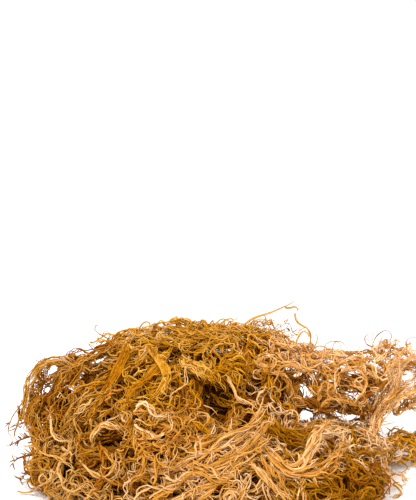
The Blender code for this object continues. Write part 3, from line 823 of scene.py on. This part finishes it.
tufty_top = strew(
    [
        smooth((86, 12, 55), (88, 13, 59), (87, 13, 63), (84, 13, 66)),
        smooth((88, 12, 55), (91, 13, 60), (93, 13, 64), (95, 13, 67)),
        smooth((92, 12, 54), (98, 13, 59), (101, 13, 63), (100, 13, 65)),
        smooth((97, 12, 52), (104, 12, 56), (109, 12, 60), (112, 12, 61)),
    ],
    5, 1.8, 134, ends=0.8,
)
veils = [
    smooth((40, 8, 34), (45, 6, 31), (51, 4, 30), (56, 4, 32), (60, 5, 35)),
    smooth((43, 9, 38), (47, 8, 34), (47, 8, 30), (44, 8, 27)),
    smooth((56, 6, 36), (53, 4, 31), (56, 3, 27), (60, 2, 25)),
    smooth((64, 3, 36), (66, 2, 31), (69, 1, 29), (74, 0, 31)),
    smooth((72, 2, 37), (74, 1, 33), (78, 0, 30), (82, -2, 27)),
    smooth((65, 3, 33), (69, 2, 33), (74, 1, 34), (80, 0, 36)),
    smooth((44, 20, 50), (48, 18, 47), (52, 18, 43), (58, 16, 41)),
]
grow(
    "upper_right_tuft",
    tuft("upper_right_tuft", 130, (0.8, 0, 0.5), 0.12, counts=(12, 16, 28, 32, 80), tone=0.64)
    + bundle(layers, 3, 1.3, 1.0, 0.5, curl=0.9)
    + bundle(stems, 3, 1.0, 0.9, 0.75, curl=0.6)
    + bundle(forks(stems, 60, 10, 133), 2, 0.6, 0.7, 0.7, curl=0.7, step=1.2)
    + bundle(underside, 4, 1.8, 1.0, 0.3)
    + bundle(tufty_top, 2, 0.8, 0.8, 0.6, curl=0.9, step=1.4)
    + bundle(forks(tufty_top, 90, 6, 135), 1, 0.4, 0.75, 0.55, curl=0.6, step=1.2)
    + bundle(loops, 2, 0.25, 0.8, 0.1, curl=0.15, step=1.2)
    + bundle(veils, 1, 0.3, 0.95, 0.05, curl=0.4, step=1.2),
    tan, "pale_strands", 13, heart_share=0.22, thickness=0.38,
)

# The plant at the left end: brownish gold seaweed whose fine curled strands hang down to the left. A
# loop of it arches over two open windows, and thin sprigs and dark forked twigs stick out at the side.
arch = strew(
    [
        smooth((-72, 0, 54), (-82, -5, 61), (-91, -9, 62), (-98, -10, 56), (-101, -10, 47), (-102, -11, 36),
               (-100, -13, 25), (-95, -15, 16)),
        smooth((-70, 1, 53), (-81, -1, 59), (-90, -2, 60), (-96, -3, 54), (-99, -3, 45), (-100, -4, 34),
               (-96, -7, 22)),
        smooth((-76, 1, 54), (-86, 3, 57), (-91, 4, 56), (-95, 5, 49), (-97, 5, 41), (-97, 3, 31),
               (-93, -1, 20)),
        smooth((-74, 2, 56), (-82, 1, 54), (-86, 0, 49), (-89, -1, 42), (-93, -3, 35), (-97, -5, 27)),
        smooth((-82, 0, 52), (-88, 0, 47), (-92, -1, 46), (-97, -2, 49), (-101, -3, 50)),
    ],
    5, 1.1, 51, ends=0.7,
)
mesh_of_strands = strew(
    [
        smooth((-93, -3, 44), (-98, -4, 42), (-101, -4, 38), (-97, -5, 33)),
        smooth((-90, -4, 36), (-96, -5, 38), (-102, -5, 42), (-101, -4, 50)),
        smooth((-91, -6, 28), (-97, -6, 32), (-103, -8, 33), (-101, -8, 26), (-96, -9, 20)),
    ],
    3, 1.8, 56, ends=0.9,
)
combed = strew(
    [
        smooth((-52, 5, 64), (-61, 3, 63), (-69, -5, 61), (-77, -14, 56), (-84, -23, 49), (-88, -30, 38),
               (-89, -36, 27)),
        smooth((-50, -12, 62), (-57, -18, 58), (-65, -24, 54), (-73, -29, 47), (-79, -34, 38),
               (-81, -40, 30)),
        smooth((-58, 4, 63), (-67, -1, 62), (-78, -7, 58), (-85, -14, 53), (-91, -20, 45), (-96, -21, 36),
               (-97, -25, 26)),
        smooth((-54, -22, 56), (-61, -28, 51), (-69, -32, 46), (-74, -36, 39), (-75, -42, 31)),
        smooth((-76, 2, 59), (-84, -1, 56), (-89, -12, 50), (-95, -14, 42), (-99, -16, 34), (-97, -20, 22)),
    ],
    6, 2.6, 57, ends=0.9,
)
# Two pale locks at the front left, toned pale both as bleached strands and as a painted highlight on them.
bright = [
    smooth((-84, -28, 43), (-86, -30, 41), (-86, -33, 36), (-84, -37, 33), (-79, -41, 31), (-72, -44, 31)),
    smooth((-64, -28, 50), (-67, -33, 47), (-71, -36, 45), (-74, -36, 41)),
]
sprigs = [
    smooth((-96, -4, 46), (-102, -5, 41), (-106, -6, 36), (-110, -6, 30), (-112, -7, 23), (-110, -7, 19),
           (-110, -7, 15)),
    smooth((-97, -5, 42), (-103, -6, 38), (-105, -7, 33), (-107, -8, 27), (-109, -8, 21), (-106, -8, 17)),
]
twigs = [
    smooth((-99, -6, 20), (-104, -7, 19), (-108, -7, 17), (-112, -7, 14)),
    smooth((-98, -12, 12), (-103, -13, 11), (-107, -14, 10), (-110, -14, 6)),
    smooth((-96, -20, 7), (-100, -22, 5), (-103, -23, 4), (-104, -24, 1)),
]
grow(
    "left_tuft",
    tuft("left_tuft", 50, (-0.5, -0.2, -0.8), 0.16, counts=(40, 44, 56, 50, 120), tone=0.16)
    + bundle(arch, 2, 0.8, 0.85, 0.72, curl=0.6)
    + bundle(mesh_of_strands, 1, 0.5, 0.85, 0.55, curl=0.8)
    + bundle(cut_clear(combed, GAPS), 2, 1.1, 0.95, 0.38, curl=0.9)
    + bundle(bright, 4, 1.1, 0.95, 0.6, 0.2, curl=0.7)
    + bundle(forks(arch + combed, 90, 7, 54), 1, 0.3, 0.7, 0.5, curl=0.6, step=1.2)
    + bundle(sprigs, 3, 0.5, 0.9, 0.35, curl=0.12)
    + bundle(twigs, 2, 0.2, 1.2, 0.0, curl=0.08)
    + bundle(forks(sprigs + twigs * 2, 44, 4.5, 55), 1, 0.1, 1.0, 0.0, curl=0.08, step=1.2),
    golden, "golden_strands", 5, thickness=0.4,
)

# The plant before it: golden seaweed that lies low on the table, with a few long pale strands curled
# round over its front, rooted in its own tangle.
front_curls = [
    smooth((-104, -37, 2), (-99, -38, 1), (-95, -40, 3), (-90, -47, 9), (-84, -52, 14), (-81, -51, 20),
           (-77, -48, 25), (-73, -43, 30)),
    smooth((-85, -48, 18), (-79, -54, 17), (-78, -55, 12), (-73, -56, 10), (-67, -58, 14), (-64, -57, 19)),
    smooth((-96, -29, 23), (-88, -42, 24), (-80, -48, 24), (-74, -52, 22), (-68, -54, 19)),
    smooth((-70, -50, 24), (-64, -55, 20), (-58, -57, 18), (-53, -56, 22), (-50, -54, 27)),
    smooth((-90, -40, 12), (-86, -46, 6), (-79, -50, 3), (-72, -52, 3)),
]
grow(
    "left_front_tuft",
    tuft("left_front_tuft", 60, (0.3, 0, -0.4), 0.05, curl=26, counts=(36, 46, 48, 44, 60), tone=0.47)
    + bundle(front_curls, 3, 0.8, 0.95, 0.65, curl=0.6),
    golden, "golden_strands", 6, heart_share=0.38,
)

# The amber plant in the middle of the heap: seaweed whose fronds have dried flat, in smooth amber
# ribbons with frayed edges that bend down over the front of the tangle.


def ribbons(lines, width, count):
    """Flat fronds: strands side by side across each line, over a width in mm."""
    made = []
    for line in lines:
        ends = np.sin(math.pi * np.linspace(0.12, 0.9, len(line)))[:, None]
        for place in np.linspace(-0.5, 0.5, count):
            made.append(line + np.array([place * width * MM, 0, 0]) * ends)
    return made


fronds = [
    smooth((-48, 4, 71), (-49, -10, 68), (-53, -20, 60), (-59, -28, 51), (-64, -33, 45), (-67, -37, 38)),
    smooth((-25, 0, 67), (-30, -15, 64), (-37, -26, 59), (-43, -33, 56), (-46, -37, 51), (-47, -39, 44)),
    smooth((-37, -2, 67), (-31, -16, 65), (-27, -27, 61), (-30, -33, 54), (-36, -37, 50)),
]
# The fronds lie bare on top: other strands keep out of the spots just before and above them.
before_it = np.array((0, -1.5, 1))
over_fronds = [
    (line[k] / MM + before_it, line[k + 3] / MM + before_it, 2.6)
    for line in fronds for k in range(2, len(line) - 4, 3)
]
grow(
    "amber_tuft",
    tuft("amber_tuft", 70, curl=26, tone=0.42, clear=over_fronds)
    + bundle(ribbons(fronds, 4.2, 9), 2, 0.5, 1.0, 0.34, 0.2, curl=0.3)
    + bundle(forks(fronds, 110, 7, 75), 2, 0.6, 0.8, 0.5, curl=0.6, step=1.3),
    amber, "golden_strands", 7,
)

# The curled plant before it: pale seaweed, the most bleached of the heap, that has dried in round
# curls and waves, with one thick lock arched over a dark hollow.
curls = strew(
    [
        smooth((-63, -43, 29), (-64, -45, 34), (-63, -45, 38), (-59, -45, 40), (-54, -45, 40),
               (-50, -44, 38), (-48, -43, 34)),
        smooth((-43, -44, 47), (-39, -45, 52), (-35, -45, 49), (-33, -45, 45), (-28, -45, 44),
               (-23, -44, 46)),
        smooth((-43, -45, 40), (-39, -47, 37), (-33, -48, 35), (-27, -48, 37), (-24, -46, 41),
               (-26, -45, 45)),
        smooth((-45, -46, 33), (-39, -48, 32), (-32, -49, 31), (-25, -48, 33), (-19, -46, 35)),
    ],
    4, 1.1, 81, ends=0.5,
)
grow(
    "curl_tuft",
    tuft("curl_tuft", 80, curl=30, counts=(32, 28, 40, 50, 60), tone=0.33, clear=over_fronds)
    + bundle(curls, 2, 0.6, 1.15, 0.7, curl=0.6),
    pale, "pale_strands", 8, heart_share=0.4,
)

# The fine tangle to the right: pale seaweed as thin as hair, in small curls, with one thicker lock of
# its strands lying across the dark hollow beside it.
across = [
    smooth((3, -6, 55), (6, -14, 52), (9, -20, 47), (14, -24, 45), (20, -26, 43), (24, -30, 40)),
    smooth((22, -28, 46), (19, -34, 42), (16, -38, 37), (17, -40, 33)),
]
grow(
    "tangle_tuft",
    tuft(
        "tangle_tuft", 100, curl=32, counts=(24, 40, 60, 80, 100), tone=0.8,
        clear=(((29, -24, 32), (45, -28, 29), 7),),
    )
    + bundle(across, 5, 1.0, 1.2, 0.66, curl=0.6),
    pale, "pale_strands", 10, thickness=0.34,
)

# The spray at the right end: an open amber seaweed, its fronds fringed with short curled branches,
# lying low on the table with light showing through it.
sprays = strew(
    [
        smooth((70, -10, 16), (79, -8, 13), (87, -5, 10), (93, -2, 13), (96, 4, 17), (101, 8, 19)),
        smooth((85, -6, 10), (93, -1, 11), (101, 1, 11), (108, 3, 14), (114, 4, 13)),
        smooth((92, 0, 14), (96, 4, 17), (102, 5, 17), (107, 5, 14), (112, 6, 9)),
        smooth((80, -10, 14), (88, -7, 12), (95, -3, 11), (101, 0, 12), (106, 2, 13)),
    ],
    3, 1.3, 122,
)
stray_curls = [
    smooth((90, -3, 8), (95, -3, 6), (99, -4, 4), (101, -7, 2), (98, -10, 1), (94, -9, 2)),
    smooth((98, 0, 9), (103, 0, 8), (106, -2, 6), (104, -5, 3), (100, -5, 3)),
    smooth((82, -22, 6), (88, -23, 4), (92, -27, 2), (94, -33, 2), (93, -40, 1)),
    smooth((86, -16, 6), (92, -17, 3), (97, -19, 2), (98, -23, 1), (95, -28, 1)),
    smooth((84, -30, 5), (89, -31, 3), (93, -36, 1), (90, -42, 1), (85, -44, 2)),
]
fringe = forks(sprays, 120, 6, 125) + forks(stray_curls, 24, 4, 126)
grow(
    "spray_tuft",
    tuft(
        "spray_tuft", 120, (0.9, 0, 0.1), 0.15, counts=(2, 5, 10, 28, 40), tone=0.84,
        clear=(((85, -20, 23), (91, 20, 7), 2.3), ((94, -20, 17), (101, 20, 2), 2.5)),
    )
    + bundle(sprays, 2, 0.8, 0.95, 0.8)
    + bundle(stray_curls, 2, 0.5, 0.9, 0.45, curl=0.4)
    + bundle(fringe, 1, 0.3, 0.8, 0.6, curl=0.6, step=1.2),
    amber, "golden_strands", 12, heart_share=0,
)

# The two plants along the front: a pale one under the long hank and a dark amber one at the right,
# both matted close and pressed flat where they lie on the table.
grow(
    "front_tuft",
    tuft("front_tuft", 90, (1, 0, 0.4), 0.12, counts=(26, 30, 44, 40, 60), tone=0.54),
    pale, "pale_strands", 9,
)
amber_patch = strew(
    [
        smooth((22, -22, 37), (27, -22, 33), (33, -26, 30), (40, -28, 28), (46, -27, 29), (53, -19, 31)),
        smooth((20, -28, 34), (26, -28, 31), (33, -33, 28), (40, -35, 27), (47, -33, 27)),
    ],
    6, 2.0, 112, ends=0.8,
)
grow(
    "right_front_tuft",
    tuft("right_front_tuft", 110, (0.5, -0.3, -0.6), 0.12, curl=26, counts=(26, 30, 44, 60, 70), tone=0.31)
    + bundle(amber_patch, 4, 1.5, 1.0, 0.4, 0.2, curl=0.9),
    brown, "brown_strands", 11,
)

# The two hanks: plants pulled out long, so that their pale strands run side by side in loose twisted
# bands. The long one lies slantwise over the front, and the short one sags in a U beside it.
bands = strew(
    [
        smooth((-40, -52, 22), (-32, -54, 20), (-24, -55, 21), (-15, -54, 27), (-4, -52, 32), (8, -49, 36),
               (17, -44, 42), (22, -38, 47)),
        smooth((-36, -60, 7), (-25, -60, 15), (-14, -58, 19), (-2, -57, 24), (10, -54, 30), (19, -48, 36),
               (25, -42, 43)),
        smooth((-28, -62, 6), (-10, -61, 13), (2, -59, 19), (13, -56, 26), (21, -50, 31)),
    ],
    8, 1.9, 141, ends=0.55,
)
tail = strew(
    [
        smooth((6, -48, 32), (13, -53, 28), (19, -58, 23), (25, -60, 18), (30, -61, 13), (35, -61, 8),
               (37, -60, 4)),
    ],
    6, 2.0, 142, ends=0.8,
)
grow(
    "front_hank",
    bundle(bands, 6, 0.9, 1.25, 0.62, curl=0.32)
    + bundle(tail, 5, 0.9, 1.0, 0.42, curl=0.8)
    + bundle(forks(bands, 110, 10, 140), 2, 0.6, 0.9, 0.65, curl=0.8),
    pale, "pale_strands", 14, trim=0.4,
)
yoke = strew(
    [
        smooth((22, -46, 31), (27, -52, 26), (34, -56, 21), (41, -57, 20), (47, -56, 21), (52, -52, 23),
               (57, -46, 25), (61, -39, 27), (65, -33, 29)),
        smooth((24, -48, 29), (30, -55, 23), (38, -57, 21), (43, -54, 25), (46, -50, 29), (49, -43, 33),
               (53, -38, 36), (59, -32, 38)),
    ],
    7, 1.8, 151, ends=0.6,
)
grow(
    "right_hank",
    bundle(yoke, 6, 0.9, 1.15, 0.5, curl=0.36)
    + bundle(forks(yoke, 60, 8, 150), 2, 0.6, 0.9, 0.55, curl=0.8),
    tan, "pale_strands", 15, trim=0.4,
)
